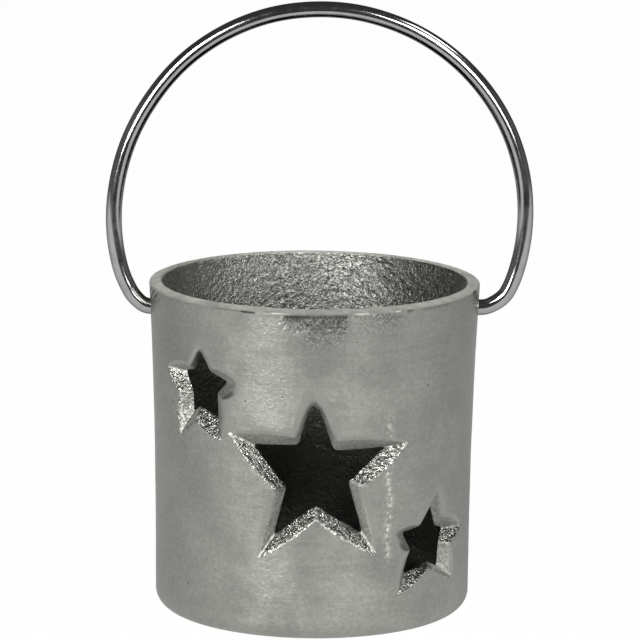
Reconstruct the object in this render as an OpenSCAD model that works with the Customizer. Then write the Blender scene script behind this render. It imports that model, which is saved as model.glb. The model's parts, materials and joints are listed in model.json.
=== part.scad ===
// Star tealight holder: a cast metal cup with star windows and a swinging wire bail.
// Frame: millimetres, +Z up, origin at the centre of the underside, big star towards -Y, bail pivots along X.

/* [Cup] */
// Height from the table to the top of the rim
cup_height = 83.5; // [70:0.5:110]
// Outside diameter of the rim
rim_d = 83; // [76:0.5:110]
// Outside diameter at the foot, below the flare
foot_d = 79.3; // [72:0.1:106]
// How late the wall flares out: 1 is a plain cone, more keeps the flare near the rim
flare_power = 2.4; // [1:0.1:4]
// Thickness of the cast wall
wall = 3.2; // [2.6:0.1:5]
// Thickness of the cast floor
floor_t = 4; // [3:0.1:8]
// Radius of the outer edge under the foot
foot_round = 4; // [1:0.1:6]
// Radius of the ground outer edge of the rim
rim_round = 1.2; // [0.3:0.1:1.6]
// Radius of the inner edge of the rim
lip_round = 0.5; // [0.2:0.1:0.8]
// Radius of the inside corner between wall and floor
inside_round = 5; // [1:0.1:10]

/* [Stars] */
// Points on every star
star_points = 5; // [4:1:7]
// Height of the big star's centre above the table
big_star_z = 41.4; // [36:0.1:50]
// Radius of the big star's tips on the outer face
big_tip = 24.5; // [16:0.1:26]
// Radius of the big star's notches on the outer face
big_notch = 11.4; // [8.5:0.1:13]
// How far the big star narrows through the wall, square to its edges
big_bevel = 2.9; // [0.5:0.1:4]
// Radius of a small star's tips on the outer face
small_tip = 13; // [9:0.1:14]
// Radius of a small star's notches on the outer face
small_notch = 6.7; // [5:0.1:8]
// How far a small star narrows through the wall, square to its edges
small_bevel = 2.2; // [0.5:0.1:3]
// Angle round the cup from the big star to a small one
small_star_turn = 47; // [44:1:70]
// Height of a small star above or below the big one
small_star_rise = 18.9; // [0:0.1:22]
// Tilt of the low star, clockwise seen from outside
low_star_tilt = 7; // [-20:1:20]
// How far the middle of an outer edge bows away from the star
edge_bow = 0.7; // [0:0.1:1.5]

/* [Bail] */
// Diameter of the bail wire
wire_d = 4; // [3:0.1:5]
// Depth of the pivot axis below the top of the rim
pivot_drop = 7.2; // [5:0.1:12]
// Room all round between the wire and its hole
pivot_clearance = 0.1; // [0.05:0.01:0.1]
// Height of the hoop's centre above the pivot axis
hoop_lift = 23.8; // [15:0.1:40]
// Radius of the bend from the hoop into the wall, to the middle of the wire
bend_radius = 6.5; // [5:0.1:10]
// Straight wire showing between the wall and the bend
bend_gap = 0.6; // [0.5:0.1:3]
// How far each end of the wire reaches past the inner face of the wall
end_reach = 2; // [1.5:0.1:4]
// Bevel on the cut ends of the wire
end_bevel = 0.4; // [0.1:0.1:0.8]
// How much the wire swells, all round, where a bend begins and ends
bend_swell = 0.02; // [0.01:0.01:0.05]
// How far the bail has slid along its pivots towards +X
bail_slide = 1; // [-1:0.1:1]

/* [Hidden] */
cup_fn = 120;
wire_fn = 48;
wall_steps = 14;
round_steps = 6;
edge_steps = 4;
// How far a star cutter runs past both faces of the wall
cut_past = 1.5;
// How far the cutter's outer cap is crowned, so that it stays clear of the round wall
cap_crown = 12;

foot_r = foot_d / 2;
rim_r = rim_d / 2;
// Height at which the flare reaches the rim's full radius
flare_z = cup_height - rim_round;
pivot_z = cup_height - pivot_drop;
pivot_wall_r = outer_r(pivot_z);
pivot_hole_d = wire_d + 2 * pivot_clearance;
bend_x = pivot_wall_r + bend_gap;
hoop_r = bend_radius + norm([bend_x, hoop_lift - bend_radius]);
hoop_angle = asin((hoop_lift - bend_radius) / (hoop_r - bend_radius));
end_x = pivot_wall_r - wall - end_reach;

// Outside and inside radius of the cup wall at a height
function outer_r(z) = foot_r + (rim_r - foot_r) * pow(z / flare_z, flare_power);
function inner_r(z) = outer_r(z) - wall;

// Points on an arc about a centre, between two angles
function arc(centre, radius, from, to) = [
    for (i = [0:round_steps])
        let (a = from + (to - from) * i / round_steps)
        centre + radius * [cos(a), sin(a)]
];

// Half section of the cup, from the middle of the underside round to the middle of the floor
function cup_section() =
    let (lip_z = cup_height - lip_round)
    let (corner_z = floor_t + inside_round)
    concat(
        [[0, 0]],
        arc([outer_r(foot_round) - foot_round, foot_round], foot_round, -90, 0),
        [for (i = [1:wall_steps - 1]) wall_point(i, foot_round, flare_z, 0)],
        arc([rim_r - rim_round, flare_z], rim_round, 0, 90),
        arc([inner_r(lip_z) + lip_round, lip_z], lip_round, 90, 180),
        [for (i = [1:wall_steps - 1]) wall_point(i, lip_z, corner_z, wall)],
        arc([inner_r(corner_z) - inside_round, corner_z], inside_round, 0, -90),
        [[0, floor_t]]
    );

// One step along the flared wall between two heights, set in from the outer face
function wall_point(i, from_z, to_z, inset) =
    let (z = from_z + (to_z - from_z) * i / wall_steps)
    [outer_r(z) - inset, z];

// A corner of a flat star, counted clockwise from the top tip
function star_corner(i, tip, notch) =
    let (a = 90 - i * 180 / star_points)
    (i % 2 == 0 ? tip : notch) * [cos(a), sin(a)];

// A point part of the way along a star's edge, bowed away from the straight line
function star_edge_point(from, to, part, bow) =
    let (along = (to - from) / norm(to - from))
    from + (to - from) * part + [-along.y, along.x] * bow * 4 * part * (1 - part);

// Outline of a flat star, every edge in steps, turned clockwise by tilt
function star_outline(tip, notch, bow, tilt) = [
    for (i = [0:2 * star_points - 1])
        for (s = [0:edge_steps - 1])
            let (from = star_corner(i, tip, notch))
            let (to = star_corner(i + 1, tip, notch))
            let (p = star_edge_point(from, to, s / edge_steps, bow))
            [p.x * cos(tilt) + p.y * sin(tilt), p.y * cos(tilt) - p.x * sin(tilt)]
];

// Distance of a star's edges from its centre
function edge_distance(tip, notch) =
    let (edge = star_corner(1, tip, notch) - star_corner(0, tip, notch))
    tip * notch * sin(180 / star_points) / norm(edge);

// A point of a flat drawing laid round the cup at a radius, turned from the front
function wrapped(p, radius, turn, z) =
    let (a = turn + p.x / radius * 180 / PI)
    [radius * sin(a), -radius * cos(a), z + p.y];

// Tapered cutter of one star, wrapped round the wall and running past both of its faces
module star_cutter(tip, notch, bevel, turn, z, tilt) {
    face_r = outer_r(z);
    slope = bevel / wall;
    distance = edge_distance(tip, notch);
    out_scale = 1 + slope * cut_past / distance;
    in_scale = 1 - slope * (wall + cut_past) / distance;
    out_r = face_r + cut_past;
    in_r = face_r - wall - cut_past;
    outer = [for (p = star_outline(tip, notch, edge_bow, tilt)) wrapped(p * out_scale, out_r, turn, z)];
    inner = [for (p = star_outline(tip, notch, 0, tilt)) wrapped(p * in_scale, in_r, turn, z)];
    caps = [wrapped([0, 0], out_r + cap_crown, turn, z), wrapped([0, 0], in_r, turn, z)];
    n = len(outer);
    outer_cap = [for (i = [0:n - 1]) [2 * n, i, (i + 1) % n]];
    inner_cap = [for (i = [0:n - 1]) [2 * n + 1, n + (i + 1) % n, n + i]];
    side_a = [for (i = [0:n - 1]) [i, n + i, n + (i + 1) % n]];
    side_b = [for (i = [0:n - 1]) [i, n + (i + 1) % n, (i + 1) % n]];
    polyhedron(concat(outer, inner, caps), concat(outer_cap, inner_cap, side_a, side_b));
}

// One-piece casting: flared wall, floor, three star windows and the two pivot holes
module cup() color("#8a8b84") {
    difference() {
        rotate_extrude($fn = cup_fn) polygon(cup_section());
        star_cutter(big_tip, big_notch, big_bevel, 0, big_star_z, 0);
        star_cutter(small_tip, small_notch, small_bevel, -small_star_turn, big_star_z + small_star_rise, 0);
        star_cutter(small_tip, small_notch, small_bevel, small_star_turn, big_star_z - small_star_rise,
            low_star_tilt);
        translate([0, 0, pivot_z])
            rotate([0, 90, 0])
                cylinder(d = pivot_hole_d, h = 2 * rim_d, center = true, $fn = wire_fn);
    }
}

// A bent length of wire in the XZ plane, about a centre
module wire_arc(centre, radius, from, sweep) {
    translate([centre.x, 0, centre.y])
        rotate([90, 0, 0])
            rotate([0, 0, from])
                rotate_extrude(angle = sweep, $fn = 3 * wire_fn)
                    translate([radius, 0])
                        circle(d = wire_d, $fn = wire_fn);
}

// The straight end of the wire that turns in the wall, from its cut end out to the bend
module wire_end() {
    reach = bend_x - end_x;
    translate([end_x, 0, 0])
        rotate([0, 90, 0])
            rotate_extrude($fn = wire_fn)
                polygon([
                    [0, 0],
                    [wire_d / 2 - end_bevel, 0],
                    [wire_d / 2, end_bevel],
                    [wire_d / 2, reach],
                    [0, reach]
                ]);
}

// Sprung wire handle: one hoop that bends in to a straight pivot at each end
module bail_handle() color("#6f7072") {
    translate([bail_slide, 0, pivot_z]) {
        wire_arc([0, hoop_lift], hoop_r, -hoop_angle, 180 + 2 * hoop_angle);
        for (side = [0, 1])
            mirror([side, 0, 0]) {
                wire_arc([bend_x, bend_radius], bend_radius, -90, 90 - hoop_angle);
                wire_end();
                for (a = [-90, -hoop_angle])
                    translate([bend_x + bend_radius * cos(a), 0, bend_radius * (1 + sin(a))])
                        sphere(d = wire_d + 2 * bend_swell, $fn = wire_fn);
            }
    }
}

cup();
bail_handle();
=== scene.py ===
# %% [markdown]
# # A star tealight holder
# A small cup of cast aluminium, its front cut through by three stars, with a bright wire bail that
# swings in two holes under the rim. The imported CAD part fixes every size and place. What it leaves
# out is made here: the rough skin of the casting, the ground outside, the worn edges of the stars and
# the polish of the wire. All lengths are in metres, the origin is the middle of the underside, and the
# big star faces -Y.

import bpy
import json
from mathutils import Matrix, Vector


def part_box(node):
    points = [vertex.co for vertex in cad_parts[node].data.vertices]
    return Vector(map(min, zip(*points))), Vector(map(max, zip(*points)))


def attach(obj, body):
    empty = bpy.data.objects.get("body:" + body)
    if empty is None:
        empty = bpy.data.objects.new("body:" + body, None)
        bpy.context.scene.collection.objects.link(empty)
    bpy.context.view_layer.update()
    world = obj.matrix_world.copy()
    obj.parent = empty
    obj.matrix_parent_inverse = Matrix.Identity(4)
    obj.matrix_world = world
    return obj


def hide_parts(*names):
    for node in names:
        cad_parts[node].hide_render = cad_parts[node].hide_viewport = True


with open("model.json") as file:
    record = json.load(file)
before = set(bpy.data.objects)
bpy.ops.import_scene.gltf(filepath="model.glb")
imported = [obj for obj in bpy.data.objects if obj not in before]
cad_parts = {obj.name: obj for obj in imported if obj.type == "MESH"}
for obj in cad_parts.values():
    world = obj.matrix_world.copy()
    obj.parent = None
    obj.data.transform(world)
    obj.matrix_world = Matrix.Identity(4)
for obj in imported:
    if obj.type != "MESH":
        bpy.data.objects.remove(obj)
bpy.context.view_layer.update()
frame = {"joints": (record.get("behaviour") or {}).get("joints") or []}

# %% Tools for meshes and numbers
import json
import math

import bmesh
import bpy
import numpy as np
from mathutils import Matrix, Vector, noise
from mathutils.geometry import delaunay_2d_cdt

# %% [markdown]
# ## The form of the casting
# The cup is one casting: a wall that flares a little towards the rim, a floor, three star windows that
# narrow towards the inside, and two holes for the wire. Cutting the windows with a Boolean modifier
# would leave long thin faces on which no rough skin can be raised. So the wall is made as a flat sheet
# of small triangles with the windows left open, and then rolled round.

# %% Sizes of the casting
MM = 0.001
cup_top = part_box("cup")[1]
cup_height = cup_top.z
rim_r = cup_top.x
foot_r = 39.65 * MM
flare_power = 2.4
wall = 3.2 * MM
floor_t = 4.0 * MM
foot_round = 4.0 * MM
rim_round = 1.2 * MM
lip_round = 0.5 * MM
inside_round = 5.0 * MM

flare_z = cup_height - rim_round
lip_z = cup_height - lip_round
corner_z = floor_t + inside_round
pivot_z = frame["joints"][0]["pos_m"][2]


def outer_r(z):
    """Outside radius of the wall at a height."""
    return foot_r + (rim_r - foot_r) * np.clip(z / flare_z, 0, 1) ** flare_power


def rolled(angle, z, radius):
    """Points round the cup, where angle 0 is the front and grows towards +X."""
    angle, z, radius = np.broadcast_arrays(angle, z, radius)
    return np.column_stack([radius * np.sin(angle), -radius * np.cos(angle), z])


print(f"cup {cup_height / MM:.1f} mm high, rim {2 * rim_r / MM:.1f} mm across")
print(f"pivot {pivot_z / MM:.1f} mm up")

# %% [markdown]
# ## The windows
# A window is two outlines with the same number of points, one on the outer face and one on the inner
# face. Every ring between them is a blend of the two, so the bevel needs no search for matching
# points. The stars were shaped by hand: each tip leans its own way, and the edges are unsteady. Filing
# rounded the upper and side edges so far that they melt into the wall, while the lower edges stayed
# crisp. Some of those, and a few bevels and corners, carry a painted highlight. The lists below say
# which edge is which.

# %% Star outlines
star_points = 5
big_star_z = 41.4 * MM
big_tip = 24.5 * MM
big_notch = 11.4 * MM
big_bevel = 2.9 * MM
small_tip = 13.0 * MM
small_notch = 6.7 * MM
small_bevel = 2.2 * MM
small_star_turn = math.radians(47)
small_star_rise = 18.9 * MM
low_star_tilt = math.radians(7)
edge_bow = 0.7 * MM
outline_step = 0.42 * MM
unsteady = 0.16 * MM
unsteady_size = 4.0 * MM
# Passes of averaging: outer outline, inner outline, and values that run from one edge to the next
outer_rounding, inner_rounding, edge_blend = 3, 12, 8


def softened(outline, passes):
    """A closed outline with its corners rounded by averaging neighbours."""
    for _ in range(passes):
        outline = outline / 2 + (np.roll(outline, 1, 0) + np.roll(outline, -1, 0)) / 4
    return outline


def star_outline(tip, notch, bows, tilt, leans, per_edge, rounding):
    """Points of a star, clockwise from its top tip, with leaning corners and edges that bow outwards."""
    corner = np.arange(2 * star_points)
    turn = math.pi / 2 - corner * math.pi / star_points - tilt
    reach = np.where(corner % 2 == 0, tip, notch)
    corners = np.column_stack([reach * np.cos(turn), reach * np.sin(turn)])
    corners += np.array(leans) * MM
    part = (np.arange(per_edge) / per_edge)[:, None]
    edges = []
    for start, end, bow in zip(corners, np.roll(corners, -1, 0), bows):
        along = (end - start) / np.linalg.norm(end - start)
        aside = np.array([-along[1], along[0]])
        edges.append(start + (end - start) * part + aside * bow * 4 * part * (1 - part))
    return softened(np.vstack(edges), rounding)


def facing(outline):
    """Directions square to a clockwise outline, away from the opening."""
    along = np.roll(outline, -1, 0) - np.roll(outline, 1, 0)
    return np.column_stack([-along[:, 1], along[:, 0]]) / np.linalg.norm(along, axis=1)[:, None]


def eased(low, high, value):
    """0 below low, 1 above high, and a smooth step between."""
    part = np.clip((value - low) / (high - low), 0, 1)
    return part * part * (3 - 2 * part)


def between(low, high, fade, value):
    """1 between two values, fading to 0 outside them."""
    return eased(low - fade, low + fade, value) * eased(high + fade, high - fade, value)


def spot_at(offset, width):
    """A soft spot of the given half width."""
    return np.exp(-((offset / width) ** 2))


# %% Place the stars
crisp_edge = 0.3 * MM
filed_edge = 1.3 * MM
ridge_width = 0.6 * MM


def along_edges(values, per_edge):
    """Values of a star's edges at the points of its outline, with soft changes between edges."""
    steps = np.repeat([values.get(edge, 0) for edge in range(2 * star_points)], per_edge)
    return softened(steps.astype(float), edge_blend)


def star_window(name, turn, z, tip, notch, bevel, tilt, arm_edge, seed):
    """A star opening: its place on the wall, its outlines on both faces and the rounding of its edge."""
    to_notch = math.pi / star_points
    edge = math.hypot(tip - notch * math.cos(to_notch), notch * math.sin(to_notch))
    edge_reach = tip * notch * math.sin(to_notch) / edge
    narrow = 1 - bevel / edge_reach
    per_edge = round(edge / outline_step)
    bows = np.full(2 * star_points, edge_bow)
    bows[straight_edges[name]] = 0
    inner_leans = leans[name + " inside"]
    outer = star_outline(tip, notch, bows, tilt, leans[name], per_edge, outer_rounding)
    inner = star_outline(tip * narrow, notch * narrow, 0 * bows, tilt, inner_leans, per_edge, 0)
    above = inner[:, 1] - blunt_from[name]
    inner[:, 1] -= blunt_share * np.maximum(above, 0)
    inner = softened(inner, inner_rounding)
    drift = [noise.noise(Vector((*(p / unsteady_size), seed))) for p in outer]
    outer = outer * (1 + unsteady / edge_reach * np.array(drift))[:, None]
    upward = facing(outer)[:, 1]
    steps = np.arange(len(outer)) / per_edge
    lower = along_edges(crisp_edges[name], per_edge)
    ridge = along_edges(highlit_faces[name], per_edge)
    for corner, share in highlit_corners[name].items():
        ridge = np.maximum(ridge, share * spot_at((steps - corner) * edge, ridge_width))
    from_top = np.minimum(steps, 2 * star_points - steps)
    from_tip = np.where(from_top < 1, 1, np.abs((steps + 1) % 2 - 1))
    filed = (1 - lower) * eased(0, 0.6, from_tip) * (1 - 0.6 * eased(0.5, 0.9, upward))
    filed = softened(filed, edge_blend)
    top_arm = softened(eased(1, 0.4, from_top), edge_blend)
    return {
        "turn": turn,
        "z": z,
        "outer": outer,
        "inner": inner,
        "reach": edge_reach,
        "lower": lower,
        "worn": along_edges(highlit_edges[name], per_edge),
        "ridge": ridge,
        "edge": crisp_edge + (filed_edge - crisp_edge) * filed + (arm_edge - filed_edge) * top_arm,
        "finish": "star_bevel",
    }


# Edges that were never filed, counted clockwise from the top tip, and how crinkled each is
crisp_edges = {
    "big": {2: 1, 4: 1, 5: 1, 7: 1},
    "high": {4: 1, 5: 0.3, 6: 0.5, 7: 0.9},
    "low": {2: 1, 4: 0.4, 5: 1},
}
straight_edges = {"big": [0, 9], "high": [0, 5, 9], "low": [0, 4, 9]}
# Edges whose outer line carries a painted highlight, and bevels and corners painted bright right through
# the wall
highlit_edges = {
    "big": {2: 0.35, 4: 1, 5: 1, 7: 0.35},
    "high": {5: 0.6, 6: 0.3, 7: 0.4},
    "low": {3: 0.3, 4: 0.9},
}
highlit_faces = {"big": {}, "high": {}, "low": {4: 1}}
highlit_corners = {"big": {4: 0.8, 5: 0.6, 6: 0.8}, "high": {6: 1, 8: 1}, "low": {2: 0.9, 3: 0.8, 4: 1}}
# Height on the star above which the top arm ends bluntly on the inside
blunt_from = {"big": 16.4 * MM, "high": 9.2 * MM, "low": small_tip}
blunt_share = 0.75
# How far each corner leans to the right and up, in millimetres, clockwise from the top tip
leans = {
    "big": [(-1.2, -4.9), (-1.6, 0.7), (0.4, 0.2), (-0.2, 1.1), (0.2, 0.3)]
    + [(-0.5, 1.2), (-0.3, -0.8), (0.6, 0.4), (0.8, 2.4), (0.7, 1.2)],
    "big inside": [(-0.9, 3.5), (-0.9, -0.4), (0.4, 1.1), (-0.3, 1), (1, -0.6)]
    + [(-0.5, 0.9), (-0.3, -1), (0.3, -0.4), (0.8, 1.7), (0.2, 1)],
    "high": [(1.4, -2.2), (1.2, 1.2), (0.3, 0), (1.4, 1.6), (-0.3, -0.3)]
    + [(-0.3, 0.2), (0.6, -1.6), (0, 1.2), (0.3, 0.3), (1.2, 0.8)],
    "high inside": [(-1.6, 1.7), (-0.9, 1.5), (-0.9, 0.6), (-0.3, 1.2), (-0.7, 0.8)]
    + [(-1.9, 0.2), (0.5, 1), (-0.4, 0.3), (0.6, 1.2), (-0.9, 1.2)],
    "low": [(0.9, 0), (0.9, 0.5), (1.2, -1.2), (0.7, 1), (2.6, 0.3)]
    + [(-0.6, 0.5), (-2.2, -1.8), (-1.2, 0.1), (-0.4, -1.5), (-1.6, -1)],
    "low inside": [(0.8, 0.3), (1.3, -0.6), (-0.3, -0.2), (2.2, 0), (1.6, -0.5)]
    + [(1.6, -1.4), (-1.2, -1.4), (-0.4, -0.8), (0.3, -0.6), (0.6, -0.3)],
}
big_star = star_window("big", 0, big_star_z, big_tip, big_notch, big_bevel, 0, 2.6 * MM, 1.5)
high_z = big_star_z + small_star_rise
low_z = big_star_z - small_star_rise
small = (small_tip, small_notch, small_bevel)
high_star = star_window("high", -small_star_turn, high_z, *small, 0, 1.8 * MM, 2.5)
low_star = star_window("low", small_star_turn, low_z, *small, low_star_tilt, filed_edge, 3.5)
print("points round the stars:", [len(star["outer"]) for star in (big_star, high_star, low_star)])

# %% Holes for the wire
bail_low, bail_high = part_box("bail_handle")
pivot_clearance = 0.1 * MM
hole_edge = 0.25 * MM
hole_sides = 48
# The joins of the wire swell a hair beyond its own radius in the CAD part
bend_swell = 0.02 * MM
wire_r = bail_high.y - bend_swell


def pivot_hole(turn):
    """A round opening for the wire, straight through the wall."""
    angle = math.pi / 2 - np.arange(hole_sides) * 2 * math.pi / hole_sides
    hole_r = wire_r + pivot_clearance
    circle = hole_r * np.column_stack([np.cos(angle), np.sin(angle)])
    return {
        "turn": turn,
        "z": pivot_z,
        "outer": circle,
        "inner": circle,
        "reach": hole_r,
        "lower": np.zeros(hole_sides),
        "worn": np.zeros(hole_sides),
        "ridge": np.zeros(hole_sides),
        "edge": np.full(hole_sides, hole_edge),
        "finish": "ground_wall",
    }


openings = [big_star, high_star, low_star, pivot_hole(-math.pi / 2), pivot_hole(math.pi / 2)]
print(f"wire {2 * wire_r / MM:.2f} mm thick")


def ring(opening, out, depth):
    """Angles and heights round an opening, a way out from its edge and a depth below the outer face."""
    share = (depth / wall)[:, None]
    flat = opening["outer"] * (1 - share) + opening["inner"] * share
    flat = flat * (1 + out / opening["reach"])[:, None]
    return opening["turn"] + flat[:, 0] / (outer_r(opening["z"]) - depth), opening["z"] + flat[:, 1]


# %% [markdown]
# ## Patches of skin
# The mesh is put together from patches: sheets for the two faces of the wall, turned strips for foot,
# rim and inside corner, discs for floor and underside, and a strip round each opening. Neighbouring
# patches repeat the points along their shared edge, so merging by distance closes the casting. The
# outer sheet has closer points in a few spots, where fine marks need them. Each patch also keeps its
# own flat drawing at true scale, from which the UV map is laid out.

# %% What a patch holds
patches = []


def add_patch(name, finish, points, faces, flat, worn=0.0, crinkled=1.0, inward=0.0):
    """Keeps one patch, and how much painted highlight, how crinkled and how deep in the wall each of its
    points is.
    """
    patch = {"finish": finish, "points": points, "faces": faces, "flat": flat}
    for value_name, value in (("worn", worn), ("crinkled", crinkled), ("inward", inward)):
        patch[value_name] = np.broadcast_to(value, len(points))
    patches.append(patch)
    print(f"{name}: {len(points)} points, {len(faces)} faces")


def grid_faces(rows, columns):
    """Quads of a grid of points kept row by row."""
    first = (np.arange(rows - 1)[:, None] * columns + np.arange(columns - 1)).ravel()
    return np.column_stack([first, first + 1, first + columns + 1, first + columns])


# %% Sheets for the outer and the inner face
def inside(points, outline):
    """Which points lie within a closed outline."""
    found = np.zeros(len(points), bool)
    x, y = points.T
    for (x0, y0), (x1, y1) in zip(outline, np.roll(outline, -1, 0)):
        if y0 != y1:
            crosses = (y0 > y) != (y1 > y)
            found ^= crosses & (x < x0 + (y - y0) * (x1 - x0) / (y1 - y0))
    return found


def near(points, outline, gap):
    """Which points lie closer to an outline than a gap."""
    found = np.zeros(len(points), bool)
    low, high = outline.min(0) - gap, outline.max(0) + gap
    index = np.flatnonzero(((points > low) & (points < high)).all(1))
    apart = np.linalg.norm(points[index, None] - outline[None], axis=2)
    found[index] = apart.min(1) < gap
    return found


def sheet_points(rows):
    """Staggered rows of points on the unrolled wall. The first and last row stay on the plain grid."""
    points = []
    for index, (z, columns) in enumerate(rows):
        step = 2 * math.pi / columns
        angle = -math.pi + step * np.arange(columns + 1)
        if index % 2 and index < len(rows) - 1:
            angle = np.concatenate([[-math.pi], angle[:-1] + step / 2, [math.pi]])
        points.append(np.column_stack([angle * foot_r, np.full(len(angle), z)]))
    return np.vstack(points)


def staggered(low, high, step):
    """Points in staggered rows between two corners, all about a step apart."""
    rows = np.arange(low[1], high[1], step * math.sqrt(3) / 2)
    columns = np.arange(low[0], high[0], step)
    return np.array([(x + step / 2 * (index % 2), y) for index, y in enumerate(rows) for x in columns])


def fine_spot(points, turn, z, step):
    """The points of a sheet with closer ones in a spot, between two angles and two heights."""
    low = np.array([turn[0] * foot_r, z[0]])
    high = np.array([turn[1] * foot_r, z[1]])
    kept = points[~((points > low - step / 2) & (points < high + step / 2)).all(1)]
    return np.vstack([kept, staggered(low, high, step)])


def wall_sheet(name, finish, rows, depth, spots=()):
    """One face of the wall, with the openings left out."""
    points = sheet_points(rows)
    for spot in spots:
        points = fine_spot(points, *spot)
    edges, outlines, lower = [], [], []
    for opening in openings:
        count = len(opening["outer"])
        out = np.full(count, inner_edge) if depth else opening["edge"]
        angle, z = ring(opening, out, np.full(count, depth))
        outline = np.column_stack([angle * foot_r, z])
        gap = 0.8 * np.linalg.norm(outline[1] - outline[0])
        points = points[~(inside(points, outline) | near(points, outline, gap))]
        outlines.append(outline)
        lower.append(opening["lower"])
    crinkled = np.concatenate([np.full(len(points), depth > 0), *lower])
    for outline in outlines:
        index = len(points) + np.arange(len(outline))
        edges += list(zip(index.tolist(), np.roll(index, -1).tolist()))
        points = np.vstack([points, outline])
    flat, _, faces, origins, *_ = delaunay_2d_cdt([Vector(p / MM) for p in points], edges, [], 0, 1e-6)
    flat = np.array(flat) * MM
    faces = np.array(faces)
    crinkled = crinkled[[origin[0] for origin in origins]]
    middle = flat[faces].mean(1)
    for outline in outlines:
        hidden = inside(middle, outline)
        faces, middle = faces[~hidden], middle[~hidden]
    if depth:
        faces = faces[:, ::-1]
    points = rolled(flat[:, 0] / foot_r, flat[:, 1], outer_r(flat[:, 1]) - depth)
    add_patch(name, finish, points, faces, flat, 0.0, crinkled)


rim_columns = 480
foot_columns = 220
inside_columns = 280
fine_below_rim = 21 * MM
inner_edge = 0.5 * MM
rim_band = 1.05 * MM
rim_start = cup_height - rim_band


def sheet_rows(low, high, columns, low_columns=None, high_columns=None):
    """Heights and columns of a sheet's rows, spaced so that its triangles are near equal-sided."""
    step = 2 * math.pi * foot_r / columns * math.sqrt(3) / 2
    count = max(2, round((high - low) / step))
    rows = [[low + (high - low) * i / count, columns] for i in range(count + 1)]
    rows[0][1] = low_columns or columns
    rows[-1][1] = high_columns or columns
    return rows


outer_rows = sheet_rows(foot_round, rim_start, foot_columns, high_columns=rim_columns)
fine_z = lip_z - fine_below_rim
inner_rows = sheet_rows(corner_z, fine_z, inside_columns)[:-1] + sheet_rows(fine_z, lip_z, rim_columns)
seam_turn = math.radians(26.5)
seam_low, seam_high = 17 * MM, 60 * MM
patch_least, patch_most = 1.8 * MM, 5.4 * MM
patch_low = rim_start - 10 * MM
patch_left, patch_right = math.radians(-17), math.radians(10.3)
smear_left, smear_right = math.radians(-25), math.radians(-14)
mottle_right = math.radians(30)
gash_left = math.radians(-42)
seam_spot = ((seam_turn - 0.05, seam_turn + 0.05), (seam_low, seam_high), 0.4 * MM)
edge_low, edge_high = rim_start - 0.9 * MM, rim_start - 0.15 * MM
patch_spot = ((smear_left, patch_right), (patch_low, edge_low), 0.5 * MM)
edge_spot = ((gash_left, mottle_right), (edge_low, edge_high), 0.22 * MM)
burr_turn = math.radians(-77)
pit_turn = math.radians(72.3)
burr_z = rim_start - 1.2 * MM
burr_spot = ((burr_turn - 0.15, burr_turn + 0.15), (burr_z - 2.2 * MM, edge_high), 0.3 * MM)
pit_spot = ((pit_turn - 0.06, pit_turn + 0.06), (edge_low, edge_high), 0.22 * MM)
fine_spots = [seam_spot, patch_spot, edge_spot, burr_spot, pit_spot]
wall_sheet("outer face", "ground_wall", outer_rows, 0, fine_spots)
wall_sheet("inner face", "cast_inside", inner_rows, wall)

# %% Turned strips for foot, rim and inside corner
def arc(centre_r, centre_z, radius, start, end, steps):
    """Radii and heights along an arc, between two angles in degrees."""
    turn = np.radians(np.linspace(start, end, steps + 1))
    return np.column_stack([centre_r + radius * np.cos(turn), centre_z + radius * np.sin(turn)])


def turned_strip(name, finish, profile, columns):
    """A profile of radii and heights turned round the axis."""
    angle = -math.pi + 2 * math.pi / columns * np.arange(columns + 1)
    turn, radius = np.meshgrid(angle, profile[:, 0])
    z = np.repeat(profile[:, 1], columns + 1)
    length = np.concatenate([[0], np.cumsum(np.linalg.norm(np.diff(profile, axis=0), axis=1))])
    flat = np.column_stack([turn.ravel() * profile[:, 0].mean(), np.repeat(length, columns + 1)])
    points = rolled(turn.ravel(), z, radius.ravel())
    add_patch(name, finish, points, grid_faces(len(profile), columns + 1), flat)


def eased_profile(corners, steps, passes=2):
    """A profile through corner points, with a number of steps for each stretch and rounded corners."""
    stretches = []
    for start, end, count in zip(corners, corners[1:], steps):
        stretches.append(np.linspace(start, end, count, endpoint=False))
    profile = np.vstack([*stretches, corners[-1:]])
    for _ in range(passes):
        profile[1:-1] = profile[1:-1] / 2 + (profile[:-2] + profile[2:]) / 4
    return profile


rim_edge = 0.3 * MM
rim_slope = math.radians(13)
lip_r = outer_r(lip_z) - wall
land_drop = (rim_r - rim_edge - lip_r - lip_round) * math.tan(rim_slope)
rim_corners = [
    (outer_r(rim_start), rim_start),
    (rim_r, cup_height - land_drop - rim_edge),
    (rim_r - rim_edge, cup_height - land_drop),
    (lip_r + lip_round, cup_height),
    (lip_r, lip_z),
]
rim_profile = eased_profile(np.array(rim_corners), [3, 4, 6, 5])
foot_profile = arc(outer_r(foot_round) - foot_round, foot_round, foot_round, -90, 0, 8)
corner_profile = arc(outer_r(corner_z) - wall - inside_round, corner_z, inside_round, 0, -90, 8)
turned_strip("foot", "ground_wall", foot_profile, foot_columns)
turned_strip("rim", "ground_rim", rim_profile, rim_columns)
turned_strip("inside corner", "cast_inside", corner_profile, inside_columns)

# %% Discs for the floor and the underside
def disc(name, finish, radius, z, columns, step, facing_down):
    """A flat round of near equal triangles whose edge has the columns of the strip beside it."""
    angle = -math.pi + 2 * math.pi / columns * np.arange(columns)
    edge = rolled(angle, z, radius)[:, :2]
    points = staggered((-radius, -radius), (radius, radius), step)
    points = points[np.linalg.norm(points, axis=1) < radius - step * 0.6]
    points = np.vstack([points, edge])
    flat, _, faces, *_ = delaunay_2d_cdt([Vector(p / MM) for p in points], [], [], 0, 1e-6)
    flat = np.array(flat) * MM
    faces = np.array(faces)[:, ::-1] if facing_down else np.array(faces)
    add_patch(name, finish, np.column_stack([flat, np.full(len(flat), z)]), faces, flat)


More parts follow.
